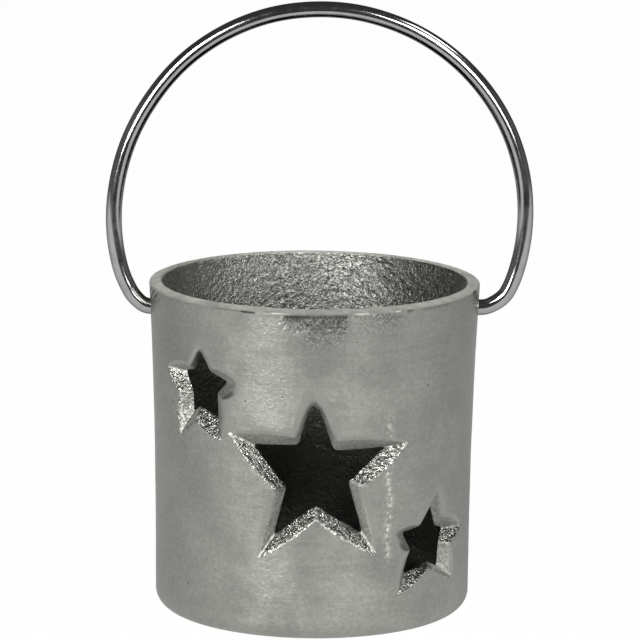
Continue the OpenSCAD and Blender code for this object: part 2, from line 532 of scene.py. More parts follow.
disc("floor", "cast_inside", corner_profile[-1, 0], floor_t, inside_columns, 1.0 * MM, False)
disc("underside", "cast_underside", foot_profile[0, 0], 0.0, foot_columns, 2.0 * MM, True)

# %% Bevels round the openings
edge_part = np.linspace(0, 1, 6)
bevel_part = np.linspace(0, 1, 9)[1:-1]
bevel_step = 0.4 * MM


def bevel_rings(edge):
    """Ways out and depths of the rings from the outer face, over the rounded edge, to the inner face."""
    for part in edge_part:
        yield edge * (1 - part) ** 2, edge * part**2
    for part in bevel_part:
        yield edge * 0, edge + (wall - inner_edge - edge) * part
    for part in edge_part:
        yield edge * 0 + inner_edge * part**2, edge * 0 + wall - inner_edge * (1 - part) ** 2


def opening_strip(name, opening):
    """The bevel of one opening, from the outer face to the inner face."""
    points, flat, worn, inward = [], [], [], []
    edge = opening["edge"]
    for row, (out, depth) in enumerate(bevel_rings(edge)):
        angle, z, deep = (np.append(values, values[0]) for values in (*ring(opening, out, depth), depth))
        points.append(rolled(angle, z, outer_r(z) - deep))
        run = np.append(0, np.cumsum(np.linalg.norm(np.diff(points[0], axis=0), axis=1)))
        flat.append(np.column_stack([run, np.full(len(run), row * bevel_step)]))
        # Painted highlight along an edge's outer line, and right through the bevel at bright corners and
        # faces
        shine = spot_at(depth - 0.3 * edge, edge) * opening["worn"]
        line = np.maximum(shine, opening["ridge"]) * (row > 0)
        worn.append(np.append(line, line[0]))
        inward.append(eased(0, 0.8, deep / np.append(edge, edge[0])))
    crinkled = np.tile(np.append(opening["lower"], opening["lower"][0]), len(points))
    faces = grid_faces(len(points), len(run))[:, ::-1]
    values = (np.concatenate(worn), crinkled, np.concatenate(inward))
    add_patch(name, opening["finish"], np.vstack(points), faces, np.vstack(flat), *values)


for number, opening in enumerate(openings):
    opening_strip(f"opening {number}", opening)

# %% [markdown]
# ## One closed casting
# The flat drawings of the patches are put side by side on one sheet, shelf by shelf, all at the same
# scale. That gives a UV map without stretch, so a baked picture has the same sharpness all over.

# %% Lay the flat drawings out on one sheet
sheet_gap = 1.5 * MM


def lay_out(drawings):
    """Places every flat drawing on a square sheet and scales the sheet to the unit square."""
    sizes = [drawing.max(0) - drawing.min(0) for drawing in drawings]
    sheet_width = max(size[0] for size in sizes) + 2 * sheet_gap
    placed = [None] * len(drawings)
    x, y, shelf = sheet_gap, sheet_gap, 0.0
    for index in sorted(range(len(drawings)), key=lambda i: -sizes[i][1]):
        if x + sizes[index][0] + sheet_gap > sheet_width:
            x, y, shelf = sheet_gap, y + shelf + sheet_gap, 0.0
        placed[index] = drawings[index] - drawings[index].min(0) + [x, y]
        x += sizes[index][0] + sheet_gap
        shelf = max(shelf, sizes[index][1])
    side = max(sheet_width, y + shelf + sheet_gap)
    return [drawing / side for drawing in placed]


# %% Join the patches into one mesh
finishes = ["ground_wall", "ground_rim", "cast_inside", "star_bevel", "cast_underside"]


def keep_values(mesh, name, values):
    """Keeps one value for each point of a mesh, for the finishes to read."""
    mesh.attributes.new(name, "FLOAT", "POINT").data.foreach_set("value", values.astype(np.float32))


def joined_mesh(name):
    """A mesh of all the patches, with their finishes, UV map and painted edge highlights."""
    starts = np.cumsum([0] + [len(patch["points"]) for patch in patches])
    drawings = lay_out([patch["flat"] for patch in patches])
    faces, uvs, finish = [], [], []
    for start, patch, drawing in zip(starts, patches, drawings):
        faces += (patch["faces"] + start).tolist()
        uvs.append(drawing[patch["faces"].ravel()])
        finish += [finishes.index(patch["finish"])] * len(patch["faces"])
    mesh = bpy.data.meshes.new(name)
    mesh.from_pydata(np.vstack([patch["points"] for patch in patches]), [], faces)
    mesh.uv_layers.new(name="OFBake").uv.foreach_set("vector", np.vstack(uvs).astype(np.float32).ravel())
    mesh.polygons.foreach_set("material_index", finish)
    for value_name in ("worn", "crinkled", "inward"):
        keep_values(mesh, value_name, np.concatenate([patch[value_name] for patch in patches]))
    return mesh


# %% Merge the patches and see whether the casting is closed
merge_gap = 0.002 * MM


def merged(mesh):
    """A mesh opened for work, with the points that its patches repeat merged."""
    work = bmesh.new()
    work.from_mesh(mesh)
    bmesh.ops.remove_doubles(work, verts=work.verts, dist=merge_gap)
    return work


def put_back(work, mesh):
    """Puts the work back into its mesh, shaded smooth, and prints how closed it is."""
    loose = sum(not edge.is_manifold for edge in work.edges)
    volume = work.calc_volume(signed=True) / MM**3
    print(f"{mesh.name}: {len(work.faces)} faces, {loose} open edges, {volume:.0f} mm3")
    work.to_mesh(mesh)
    work.free()
    mesh.polygons.foreach_set("use_smooth", np.ones(len(mesh.polygons), bool))


cup_mesh = joined_mesh("cast_cup")
put_back(merged(cup_mesh), cup_mesh)
triangles = sum(len(face.vertices) - 2 for face in cup_mesh.polygons)
print("triangles in the cup:", triangles)

# %% [markdown]
# ## The rough skin
# Molten metal takes the grain of its sand mould. The outside was ground after casting, so only a slow
# unevenness is left there, while the inside and the bevels keep the full grain. A bump map would not
# show in the outline of a bevel or in the exported mesh, so the grain is raised in the mesh itself, by
# moving every point along its normal. The points never leave the box of the CAD part. The outside also
# keeps some marks: a patch under the rim that the belt missed, a lighter smear beside it, the seam of the
# mould with painted glints, cuts and painted shade lines along the rim, painted glints on the rim's lower
# edge and painted shade round the holes. Each is a value at the points, which the finishes read later.

# %% How rough each point is
def cast_share(points):
    """1 where the rough casting shows, 0 on the ground outside, rim and foot."""
    radius = np.hypot(points[:, 0], points[:, 1])
    z = points[:, 2]
    depth = outer_r(z) - radius
    below_lip = eased(0.1 * MM, 0.9 * MM, lip_z - z)
    return eased(0.2 * MM, 0.9 * MM, depth) * below_lip * (z > floor_t - 0.05 * MM)


def noise_at(points, size, shift):
    """Smooth noise between -1 and 1 at every point, with bumps of about the given size."""
    return np.array([noise.noise(Vector(p / size + shift)) for p in points])


# %% Where the belt did not reach the wall
ragged_size = 3 * MM
ragged_share = 0.4
mottle_depth = 9 * MM
mottle_share = 0.6
side_fade = 0.05


def left_rough(points, turn):
    """How far the skin is left unground, in the patch under the rim and to the right of it."""
    z = points[:, 2]
    ragged = ragged_share * noise_at(points, ragged_size, 6.6)
    from_left = eased(patch_left, patch_left + 0.1, turn)
    to_right = eased(0, -0.03, turn - patch_right + 0.03 * ragged)
    below = rim_start - z
    reach = patch_least + (patch_most - patch_least) * eased(patch_left, 0, turn)
    under_rim = from_left * to_right * eased(2.2 * reach, 0.2 * reach, below + ragged_size * ragged)
    beside = between(patch_right, mottle_right, side_fade, turn)
    mottled = mottle_share * beside * eased(mottle_depth, 0, below)
    return np.clip(under_rim + mottled, 0, 1) * eased(-0.05 * MM, 0.1 * MM, below)


# %% Cuts and painted shade along the rim, painted shade round the holes
scratch_rise = 0.55
scratch_pitch = 1.9 * MM
# Depth, half width as an angle and half height: scratches over the left hole, pit over the right one
burr_depth, burr_half, burr_tall = 1.3, 0.1, 1.6 * MM
pit_depth, pit_half, pit_tall = 1.8, 0.03, 0.4 * MM
# Painted shade round the holes: how far it reaches on the wall and how dark it is there
hole_shade_reach = 5.5 * MM
hole_shade_share = 0.36
# Painted shade lines along the rim's lower edge, each also sunk a little into the wall: depth, first and
# last degree, fade, millimetres below it, half width
rim_shade_lines = [
    (0.7, -38, -24, 3, 0, 0.15),
    (0.7, 31, 34, 0.6, 0, 0.15),
    (0.3, 38, 52, 2, 0, 0.15),
    (0.7, -12, 10, 1, 0.6, 0.6),
    (0.4, -12, -5, 2, 1.5, 0.9),
    (1.0, -27.3, -22, 0.6, 0.16, 0.32),
]


def cut_and_shade_at(points, turn):
    """How deep the cuts and painted shade are: lines along the rim, scratches over one hole and a pit over
    the other.
    """
    z = points[:, 2]
    degrees = np.degrees(turn)
    cut = np.zeros(len(points))
    for depth, first, last, fade, drop, width in rim_shade_lines:
        line = spot_at(z - rim_start + drop * MM, width * MM)
        cut += depth * between(first, last, fade, degrees) * line
    scratched = eased(0.2, 0.8, np.sin((z - scratch_rise * turn * rim_r) * 2 * math.pi / scratch_pitch))
    burr = spot_at(turn - burr_turn, burr_half) * spot_at(z - burr_z, burr_tall) * scratched
    rim_pit = pit_depth * spot_at(turn - pit_turn, pit_half) * spot_at(z - rim_start, pit_tall)
    return np.clip(cut + burr_depth * burr + rim_pit, 0, 1)


def hole_shade(points):
    """Painted shade round the wire: full in the holes, fainter on the wall within reach of them."""
    apart = np.hypot(points[:, 1], points[:, 2] - pivot_z) - wire_r
    on_side = np.abs(points[:, 0]) > rim_r / 2
    on_wall = hole_shade_share * eased(hole_shade_reach, 0, apart)
    in_hole = 0.6 * eased(0.9 * MM, 0.1 * MM, apart)
    return on_side * (on_wall + in_hole)


# %% Painted glints at the seam and on the rim, and a lighter smear
seam_half = math.radians(1.3)
seam_wander = math.radians(1.3)
seam_fade = 3 * MM
smear_share = 0.25
# Stretches of painted glints on the rim's lower edge, in degrees
speck_stretches = [(-20.5, -10), (12, 17.5), (25, 30.5)]


def left_bright(points, turn):
    """How far the colour is lightened: painted glints along the mould's parting line and in specks on the
    rim's lower edge, and a lighter smear.
    """
    z = points[:, 2]
    wander = seam_wander * noise_at(points * [0, 0, 1], 9 * MM, 1.9)
    broken = eased(-0.2, 0.2, noise_at(points, 1.0 * MM, 7.7))
    along = between(seam_low + seam_fade, seam_high - seam_fade, seam_fade, z)
    seam = spot_at(turn - seam_turn - wander, seam_half) * along
    stretches = sum(between(*ends, 0.8, np.degrees(turn)) for ends in speck_stretches)
    dashes = eased(0, 0.15, noise_at(points * [1, 1, 0], 1.6 * MM, 3.3))
    # Painted glints in stretches along the rim's lower edge
    specks = stretches * spot_at(z - rim_start, 0.22 * MM)
    below = rim_start - z
    beside = between(smear_left, smear_right, side_fade, turn)
    smear = smear_share * beside * between(1 * MM, 9 * MM, 1 * MM, below)
    return seam * broken + smear * (0.6 + 0.4 * broken), specks * dashes


# %% Raise the skin
grain_height = 0.16 * MM
grain_size = 1.3 * MM
fine_grain_size = 0.7 * MM
wave_height = 0.05 * MM
wave_size = 9.0 * MM
nick_height = 0.05 * MM
sunk_depth = 0.12 * MM


def mesh_values(source, name, width):
    """Values kept in a mesh, one row for each point."""
    values = np.empty(len(source) * width, np.float32)
    source.foreach_get(name, values)
    return values.reshape(-1, width).astype(float)


points = mesh_values(cup_mesh.vertices, "co", 3)
normals = mesh_values(cup_mesh.vertex_normals, "vector", 3)
crinkled = mesh_values(cup_mesh.attributes["crinkled"].data, "value", 1)[:, 0]
turn = np.arctan2(points[:, 0], -points[:, 1])
outside = outer_r(points[:, 2]) - np.hypot(points[:, 0], points[:, 1]) < 0.3 * MM
unground = left_rough(points, turn) * outside
# Cuts and painted shade lines along the rim, together with the painted shade round the holes
cut = np.maximum(cut_and_shade_at(points, turn) * outside, hole_shade(points))
seam, specks = (bright * outside for bright in left_bright(points, turn))
rough = np.maximum(cast_share(points) * (0.25 + 0.75 * crinkled), 0.7 * np.maximum(unground, seam))
grain = 0.7 * noise_at(points, grain_size, 11.3) + 0.5 * noise_at(points, fine_grain_size, 4.7) - 0.2
standing = eased(0, 1.5 * MM, points[:, 2])
wave = wave_height * (noise_at(points, wave_size, 2.2) - 0.5) * standing
nick = nick_height * (noise_at(points, 1.7 * MM, 5.1) - 0.6) * eased(rim_start, lip_z, points[:, 2])
sunk = sunk_depth * np.maximum(unground, 0.3 * cut)
points += normals * (grain_height * grain * rough + (wave + nick) * (1 - rough) - sunk)[:, None]
points = np.clip(points, *(np.array(corner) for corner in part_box("cup")))
cup_mesh.vertices.foreach_set("co", points.astype(np.float32).ravel())
for value_name, values in (("unground", unground), ("cut", cut), ("seam", np.maximum(seam, specks))):
    keep_values(cup_mesh, value_name, values)
cup_mesh.update()
print(f"rough points: {int((rough > 0.5).sum())} of {len(points)}")

# %% The cup as a piece
cast_cup = bpy.data.objects.new("cast_cup", cup_mesh)
bpy.context.scene.collection.objects.link(cast_cup)
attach(cast_cup, "cup")
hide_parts("cup")
print("piece:", cast_cup.name)

# %% [markdown]
# ## The bail
# The bail is one length of polished wire: a straight end in each hole, a tight bend up and a wide hoop
# between. A curve object with a bevel would do, but its rings can't narrow at the cut ends. A walk along
# the wire, piece by piece, gives the middle line, and a ring of points is set square to it at every
# step. Bending by hand leaves no true circle: the bends come out gentler and parts of the hoop flatter,
# so the line is drawn in there.

# %% Sizes of the bail
bend_radius = 6.5 * MM
end_reach = 2.0 * MM
end_round = 0.4 * MM
wire_sides = 40

bail_slide = (bail_low.x + bail_high.x) / 2
hoop_r = (bail_high.x - bail_low.x) / 2 - wire_r
hoop_z = bail_high.z - wire_r - hoop_r
hoop_angle = math.asin((hoop_z - pivot_z - bend_radius) / (hoop_r - bend_radius))
bend_x = (hoop_r - bend_radius) * math.cos(hoop_angle)
end_x = outer_r(pivot_z) - wall - end_reach
print(f"hoop radius {hoop_r / MM:.2f} mm, its centre {hoop_z / MM:.2f} mm up")
print(f"centres of the bends {bend_x / MM:.2f} mm out")

# %% Walk along the wire
bend = math.pi / 2 - hoop_angle
walk = [
    (bend_x - end_x, 0.0),
    (bend * bend_radius, 1 / bend_radius),
    ((math.pi + 2 * hoop_angle) * hoop_r, 1 / hoop_r),
    (bend * bend_radius, 1 / bend_radius),
    (bend_x - end_x, 0.0),
]
walk_step = 0.7 * MM


def wire_line():
    """Middle points of the wire in the XZ plane and its heading at each, from left end to right end."""
    place = np.array([bail_slide - end_x, pivot_z])
    heading = math.pi
    line, headings = [place], [heading]
    for length, curve in walk:
        count = round(length / walk_step)
        for _ in range(count):
            step = length / count
            middle = heading - curve * step / 2
            chord = step if curve == 0 else 2 / curve * math.sin(curve * step / 2)
            place = place + chord * np.array([math.cos(middle), math.sin(middle)])
            heading -= curve * step
            line.append(place)
            headings.append(heading)
    return np.array(line), np.array(headings)


line, headings = wire_line()
run = np.append(0, np.cumsum(np.linalg.norm(np.diff(line, axis=0), axis=1)))
print(f"wire {run[-1] / MM:.1f} mm long, its ends {np.abs(line[[0, -1], 0] - bail_slide) / MM} mm out")

# %% Rings round the wire
hand_bent = 0.05 * MM
hand_bent_size = 12 * MM
held_run = 30 * MM
bend_ease = 0.55 * MM
# Where a bend is eased, counted along the wire from the wall: middle, half width and fade
bend_middle, bend_half, bend_fade = 5.5 * MM, 4.5 * MM, 4 * MM
end_steps = 4
# Where the hoop was left flatter than a circle: degrees from its top, half width and depth
flats = [(-64, 32, 0.76 * MM), (5, 50, 0.29 * MM)]


def wire_mesh():
    """Rings round the middle line, with rounded ends where the wire was snipped, and the unevenness of
    bending by hand.
    """
    quarter = np.linspace(0, math.pi / 2, end_steps + 1)
    end_run = end_round * (1 - np.cos(quarter))
    end_r = wire_r - end_round * (1 - np.sin(quarter))
    at = np.concatenate([end_run, run[1:-1], run[-1] - end_run[::-1]])
    radius = np.concatenate([end_r, np.full(len(run) - 2, wire_r), end_r[::-1]])
    x, z = (np.interp(at, run, line[:, axis]) for axis in (0, 1))
    heading = np.interp(at, run, headings)
    free = eased(0, held_run, at) * eased(0, held_run, run[-1] - at)
    places = at[:, None] * [1, 0, 0]
    aside, sway = (free * hand_bent * noise_at(places, hand_bent_size, shift) for shift in (3.1, 8.4))
    from_top = np.degrees(np.arctan2(x - bail_slide, z - hoop_z))
    aside -= free * sum(depth * spot_at(from_top - place, width) for place, width, depth in flats)
    around = 2 * math.pi / wire_sides * np.arange(wire_sides + 1)
    in_wall = outer_r(pivot_z) - end_x + bail_slide * np.array([1, -1])
    past_wall = np.column_stack([at, run[-1] - at]) - in_wall
    at_bends = spot_at(past_wall - bend_middle, bend_half) * eased(0, bend_fade, past_wall)
    aside -= bend_ease * at_bends.sum(1)
    out = (radius[:, None] * np.cos(around) + aside[:, None]).ravel()
    across = (radius[:, None] * np.sin(around) + sway[:, None]).ravel()
    x, z, heading, at = (np.repeat(values, wire_sides + 1) for values in (x, z, heading, at))
    points = np.column_stack([x - out * np.sin(heading), across, z + out * np.cos(heading)])
    flat = np.column_stack([at, np.tile(around * wire_r, len(radius))])
    return points, grid_faces(len(radius), wire_sides + 1), flat


points, faces, flat = wire_mesh()
points = np.clip(points, *(np.array(corner) for corner in (bail_low, bail_high)))
print(f"wire mesh: {len(points)} points, {len(faces)} faces")

# %% Fold the wire's long flat drawing into lengths
fold_count = 5
fold_length = flat[:, 0].max() / fold_count
fold_pitch = 2 * math.pi * wire_r + sheet_gap
wire_sheet = fold_count * fold_pitch
fold = np.minimum(flat[faces[:, 0], 0] // fold_length, fold_count - 1)[:, None, None]
wire_uvs = (flat[faces] + fold * [-fold_length, fold_pitch]) / wire_sheet
bail_mesh = bpy.data.meshes.new("wire_bail")
bail_mesh.from_pydata(points, [], faces.tolist())
bail_mesh.uv_layers.new(name="OFBake").uv.foreach_set("vector", wire_uvs.astype(np.float32).ravel())
print(f"flat drawing of the wire: {fold_count} lengths of {fold_length / MM:.1f} mm")

# %% Close the ends of the wire
def finish_wire(mesh):
    """Merges the points where each ring closes on itself and closes both ends with a fan that has its own
    place on the flat sheet.
    """
    work = merged(mesh)
    rims = [edge for edge in work.edges if edge.is_boundary]
    ends = bmesh.ops.holes_fill(work, edges=rims, sides=0)["faces"]
    drawing = work.loops.layers.uv["OFBake"]
    for face in bmesh.ops.poke(work, faces=ends)["faces"]:
        right = face.calc_center_median().x > bail_slide
        for loop in face.loops:
            place = Vector((loop.vert.co.y, loop.vert.co.z - pivot_z))
            place += Vector((fold_length + wire_r + sheet_gap, wire_r + right * fold_pitch))
            loop[drawing].uv = place / wire_sheet
    bmesh.ops.recalc_face_normals(work, faces=work.faces)
    put_back(work, mesh)


finish_wire(bail_mesh)
wire_bail = bpy.data.objects.new("wire_bail", bail_mesh)
bpy.context.scene.collection.objects.link(wire_bail)
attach(wire_bail, "bail")
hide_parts("bail_handle")

# %% [markdown]
# ## Effects that several finishes share
# Grain, grinding marks, blotches and pits each appear in more than one finish. Each is a node group
# that is built once, with its sizes as inputs, and gives out heights, tones or masks. The shader itself
# stays in the material.

# %% Helpers for node trees
def feed(tree, socket, value):
    """Links a socket to another, or sets its number or colour."""
    if isinstance(value, bpy.types.NodeSocket):
        tree.links.new(value, socket)
    else:
        socket.default_value = value


def maths(tree, operation, first, second=0.0, third=0.0):
    """A Math node's result."""
    step = tree.nodes.new("ShaderNodeMath")
    step.operation = operation
    for socket, value in zip(step.inputs, (first, second, third)):
        feed(tree, socket, value)
    return step.outputs[0]


def spread(tree, value, low, high, to_low=0.0, to_high=1.0):
    """A value moved smoothly from one span to another, and held at its ends."""
    step = tree.nodes.new("ShaderNodeMapRange")
    step.interpolation_type = "SMOOTHSTEP"
    for socket, number in zip(step.inputs, (value, low, high, to_low, to_high)):
        feed(tree, socket, number)
    return step.outputs[0]


def mixed(tree, share, first, second):
    """A colour between two colours."""
    step = tree.nodes.new("ShaderNodeMix")
    step.data_type = "RGBA"
    feed(tree, step.inputs["Factor"], share)
    feed(tree, step.inputs[6], first)
    feed(tree, step.inputs[7], second)
    return step.outputs[2]


def along_axes(tree, kind="Object"):
    """The X, Y and Z of a place in the object's own coordinates, or of another kind."""
    split = tree.nodes.new("ShaderNodeSeparateXYZ")
    tree.links.new(tree.nodes.new("ShaderNodeTexCoord").outputs[kind], split.inputs[0])
    return split.outputs


def scaled_place(tree, across, up=None):
    """The object's own coordinates, counted in steps of the given sizes."""
    place = tree.nodes.new("ShaderNodeTexCoord").outputs["Object"]
    steps = tree.nodes.new("ShaderNodeCombineXYZ")
    for axis in "XYZ":
        feed(tree, steps.inputs[axis], up if axis == "Z" and up is not None else across)
    divide = tree.nodes.new("ShaderNodeVectorMath")
    divide.operation = "DIVIDE"
    tree.links.new(place, divide.inputs[0])
    tree.links.new(steps.outputs[0], divide.inputs[1])
    return divide.outputs[0]


def cloudy(tree, place, scale=1.0, detail=3.0, roughness=0.55, distortion=0.0):
    """A noise texture's value."""
    texture = tree.nodes.new("ShaderNodeTexNoise")
    tree.links.new(place, texture.inputs["Vector"])
    values = {"Scale": scale, "Detail": detail, "Roughness": roughness, "Distortion": distortion}
    for name, value in values.items():
        texture.inputs[name].default_value = value
    return texture.outputs["Fac"]


def new_group(name, inputs, outputs):
    """An empty node group with named number sockets, and its inner ends."""
    group = bpy.data.node_groups.new(name, "ShaderNodeTree")
    for socket, value in inputs.items():
        made = group.interface.new_socket(name=socket, in_out="INPUT", socket_type="NodeSocketFloat")
        made.default_value = value
    for socket in outputs:
        group.interface.new_socket(name=socket, in_out="OUTPUT", socket_type="NodeSocketFloat")
    return group, group.nodes.new("NodeGroupInput").outputs, group.nodes.new("NodeGroupOutput").inputs


def use_group(tree, group, **values):
    """Places a group in a material with its own sizes."""
    placed = tree.nodes.new("ShaderNodeGroup")
    placed.node_tree = group
    for socket, value in values.items():
        placed.inputs[socket].default_value = value
    return placed.outputs


# %% Grain of the casting
grain_group, given, result = new_group("casting_grain", {"Size": 0.8 * MM}, ["Height", "Tone", "Glint"])
place = scaled_place(grain_group, given["Size"])
lumps = cloudy(grain_group, place, 1.0, 2.0, 0.55, 0.8)
feed(grain_group, result["Height"], lumps)
feed(grain_group, result["Tone"], spread(grain_group, lumps, 0.36, 0.66))
feed(grain_group, result["Glint"], spread(grain_group, cloudy(grain_group, place, 0.8, 1.0), 0.6, 0.72))

# %% Marks of the grinding belt
marks_group, given, result = new_group(
    "grinding_marks", {"Length": 14 * MM, "Width": 0.25 * MM}, ["Height", "Tone"]
)
place = scaled_place(marks_group, given["Length"], given["Width"])
feed(marks_group, result["Height"], cloudy(marks_group, place, 1.0, 3.0, 0.6))
feed(marks_group, result["Tone"], cloudy(marks_group, place, 0.37, 4.0, 0.65, 0.3))

# %% Blotches of dull metal
blotch_group, given, result = new_group("blotches", {"Size": 12 * MM}, ["Tone"])
place = scaled_place(blotch_group, given["Size"])
clouds = cloudy(blotch_group, place, 1.0, 5.0, 0.6, 0.5)
feed(blotch_group, result["Tone"], spread(blotch_group, clouds, 0.3, 0.7))

# %% Pits left by gas and sand
pit_group, given, result = new_group("pits", {"Spacing": 5 * MM, "Share": 0.3, "Radius": 0.08}, ["Mask"])
cells = pit_group.nodes.new("ShaderNodeTexVoronoi")
pit_group.links.new(scaled_place(pit_group, given["Spacing"]), cells.inputs["Vector"])
cells.inputs["Scale"].default_value = 1.0
chance = pit_group.nodes.new("ShaderNodeSeparateColor")
pit_group.links.new(cells.outputs["Color"], chance.inputs[0])
chosen = maths(pit_group, "LESS_THAN", chance.outputs[0], given["Share"])
apart = maths(pit_group, "DIVIDE", cells.outputs["Distance"], given["Radius"])
dot = spread(pit_group, maths(pit_group, "SUBTRACT", 1.0, apart), 0.0, 0.7)
feed(pit_group, result["Mask"], maths(pit_group, "MULTIPLY", dot, chosen))
print("groups:", [group.name for group in bpy.data.node_groups])

# %% [markdown]
# ## Finishes of the cup
# Bare aluminium has almost no colour of its own: a little more red and green than blue. What tells the
# finishes apart is how rough they are and how far their skin departs from smooth, so every finish
# gives its shader a varying colour, roughness and bump.

# %% A metal material to start from
def metal(name):
    """A material whose shader is bare metal, and that shader."""
    material = bpy.data.materials.new(name)
    material.use_nodes = True
    shader = material.node_tree.nodes["Principled BSDF"]
    shader.inputs["Metallic"].default_value = 1.0
    return material, material.node_tree, shader


def bumped(tree, shader, height, distance, strength=1.0):
    """Feeds a height to the shader's normal through a Bump node."""
    bump = tree.nodes.new("ShaderNodeBump")
    bump.inputs["Strength"].default_value = strength
    bump.inputs["Distance"].default_value = distance
    tree.links.new(height, bump.inputs["Height"])
    tree.links.new(bump.outputs["Normal"], shader.inputs["Normal"])


def painted(tree, name):
    """A value kept at the points of the mesh."""
    attribute = tree.nodes.new("ShaderNodeAttribute")
    attribute.attribute_name = name
    return attribute.outputs["Fac"]


def grey(level):
    """The warm grey of bare aluminium at a level."""
    return (level, level * 1.005, level * 0.93, 1.0)


# %% Ground wall
def ground_wall():
    """Satin outside: fine level marks, dull blotches, a few pits and spots the belt did not reach."""
    material, tree, shader = metal("ground_wall")
    marks = use_group(tree, marks_group, Length=16 * MM, Width=0.3 * MM)
    clouds = use_group(tree, blotch_group, Size=15 * MM)["Tone"]
    flecks = use_group(tree, blotch_group, Size=1.1 * MM)["Tone"]
    pit = use_group(tree, pit_group, Spacing=4.5 * MM, Share=0.3, Radius=0.07)["Mask"]
    grain = use_group(tree, grain_group, Size=0.55 * MM)
    left = painted(tree, "unground")
    seam = painted(tree, "seam")
    cut = painted(tree, "cut")
    tone = maths(tree, "MULTIPLY_ADD", clouds, 0.45, maths(tree, "MULTIPLY", marks["Tone"], 0.55))
    colour = mixed(tree, tone, grey(0.245), grey(0.44))
    colour = mixed(tree, maths(tree, "MULTIPLY", flecks, 0.4), colour, grey(0.22))
    colour = mixed(tree, maths(tree, "MULTIPLY", grain["Tone"], 0.2), colour, grey(0.2))
    light_skin = mixed(tree, grain["Tone"], grey(0.1), grey(0.48))
    dark_skin = mixed(tree, grain["Tone"], grey(0.06), grey(0.26))
    colour = mixed(tree, left, colour, mixed(tree, spread(tree, left, 0.3, 1.0), light_skin, dark_skin))
    # Painted glints: the colour is lightened along the raised seam and the rim's lower edge, and in the
    # lighter smear
    colour = mixed(tree, maths(tree, "MULTIPLY", seam, 0.8), colour, grey(0.6))
    # Pits, cuts and painted shade along the rim and round the wire darken the colour
    colour = mixed(tree, maths(tree, "MAXIMUM", pit, cut), colour, grey(0.06))
    feed(tree, shader.inputs["Base Color"], colour)
    dull = maths(tree, "MULTIPLY_ADD", marks["Tone"], 0.1, 0.22)
    dull = maths(tree, "MULTIPLY_ADD", clouds, 0.08, dull)
    feed(tree, shader.inputs["Roughness"], maths(tree, "MULTIPLY_ADD", cut, 0.6, dull))
    shader.inputs["Specular Tint"].default_value = (0.85, 0.85, 0.85, 1.0)
    lines = use_group(tree, marks_group, Length=1.6 * MM, Width=0.16 * MM)["Height"]
    raised = maths(tree, "MULTIPLY", grain["Height"], maths(tree, "MAXIMUM", left, seam))
    height = maths(tree, "MULTIPLY_ADD", lines, 0.17, raised)
    height = maths(tree, "MULTIPLY_ADD", flecks, 0.12, height)
    height = maths(tree, "MULTIPLY_ADD", pit, -0.5, height)
    bumped(tree, shader, height, 0.16 * MM)
    return material


# %% Ground rim
def ground_rim():
    """Flat-ground top edge: dull from a coarse disc, with short marks, pits, stretches of painted glints
    and painted shade on its steep outer edge.
    """
    material, tree, shader = metal("ground_rim")
    marks = use_group(tree, marks_group, Length=3 * MM, Width=0.6 * MM)
    clouds = use_group(tree, blotch_group, Size=4 * MM)["Tone"]
    pit = use_group(tree, pit_group, Spacing=3.2 * MM, Share=0.4, Radius=0.11)["Mask"]
    # Painted shade: the steep outer edge of the rim, just above the wall, is darkened
    rim_edge_shade = spread(tree, along_axes(tree)["Z"], rim_start, rim_start + 0.6 * MM, 0.75, 0.0)
    colour = mixed(tree, rim_edge_shade, mixed(tree, clouds, grey(0.39), grey(0.54)), grey(0.26))
    # Painted glints in stretches along the rim's lower edge
    colour = mixed(tree, painted(tree, "seam"), colour, grey(0.68))
    # Pits, and the painted shade lines and pit along the rim's lower edge, darken the colour
    colour = mixed(tree, maths(tree, "MAXIMUM", pit, painted(tree, "cut")), colour, grey(0.08))
    feed(tree, shader.inputs["Base Color"], colour)
    feed(tree, shader.inputs["Roughness"], maths(tree, "MULTIPLY_ADD", marks["Tone"], 0.16, 0.82))
    height = maths(tree, "MULTIPLY_ADD", pit, -0.7, maths(tree, "MULTIPLY", marks["Height"], 0.3))
    bumped(tree, shader, height, 0.15 * MM)
    return material


# %% Rough inside
def cast_inside():
    """Sand-cast inside: sparkling grain near the rim, painted shade dull and dark towards the floor and on
    the right, painted light on the left.
    """
    material, tree, shader = metal("cast_inside")
    grain = use_group(tree, grain_group, Size=0.74 * MM)
    clouds = use_group(tree, blotch_group, Size=9 * MM)["Tone"]
    x, _, z = along_axes(tree)
    # Painted shade: the colour turns dark from the rim down towards the floor, where the cup lies in shade
    bright = spread(tree, z, 0.62 * cup_height, 0.88 * cup_height)
    # Painted light: the left side of the inside is lightened
    left_light = spread(tree, x, -26 * MM, -4 * MM, 0.52, 0.0)
    # Painted shadow: a band across the upper right of the inside, bounded by a slanting edge, is darkened
    right_shadow = spread(tree, maths(tree, "MULTIPLY_ADD", z, 0.7, x), 69 * MM, 76 * MM, 0.0, 0.4)
    right_shadow = maths(tree, "MULTIPLY", right_shadow, spread(tree, x, 24 * MM, 34 * MM, 1.0, 0.0))
    lit = mixed(tree, grain["Tone"], grey(0.1), grey(0.3))
    lit = mixed(tree, grain["Glint"], lit, grey(0.46))
    lit = mixed(tree, maths(tree, "MULTIPLY", clouds, 0.3), lit, grey(0.25))
    lit = mixed(tree, right_shadow, mixed(tree, left_light, lit, grey(0.5)), grey(0.05))
    dark = mixed(tree, clouds, grey(0.11), grey(0.14))
    feed(tree, shader.inputs["Base Color"], mixed(tree, bright, dark, lit))
    feed(tree, shader.inputs["Roughness"], maths(tree, "MULTIPLY_ADD", clouds, 0.12, 0.37))
    bumped(tree, shader, grain["Height"], 0.36 * MM)
    return material


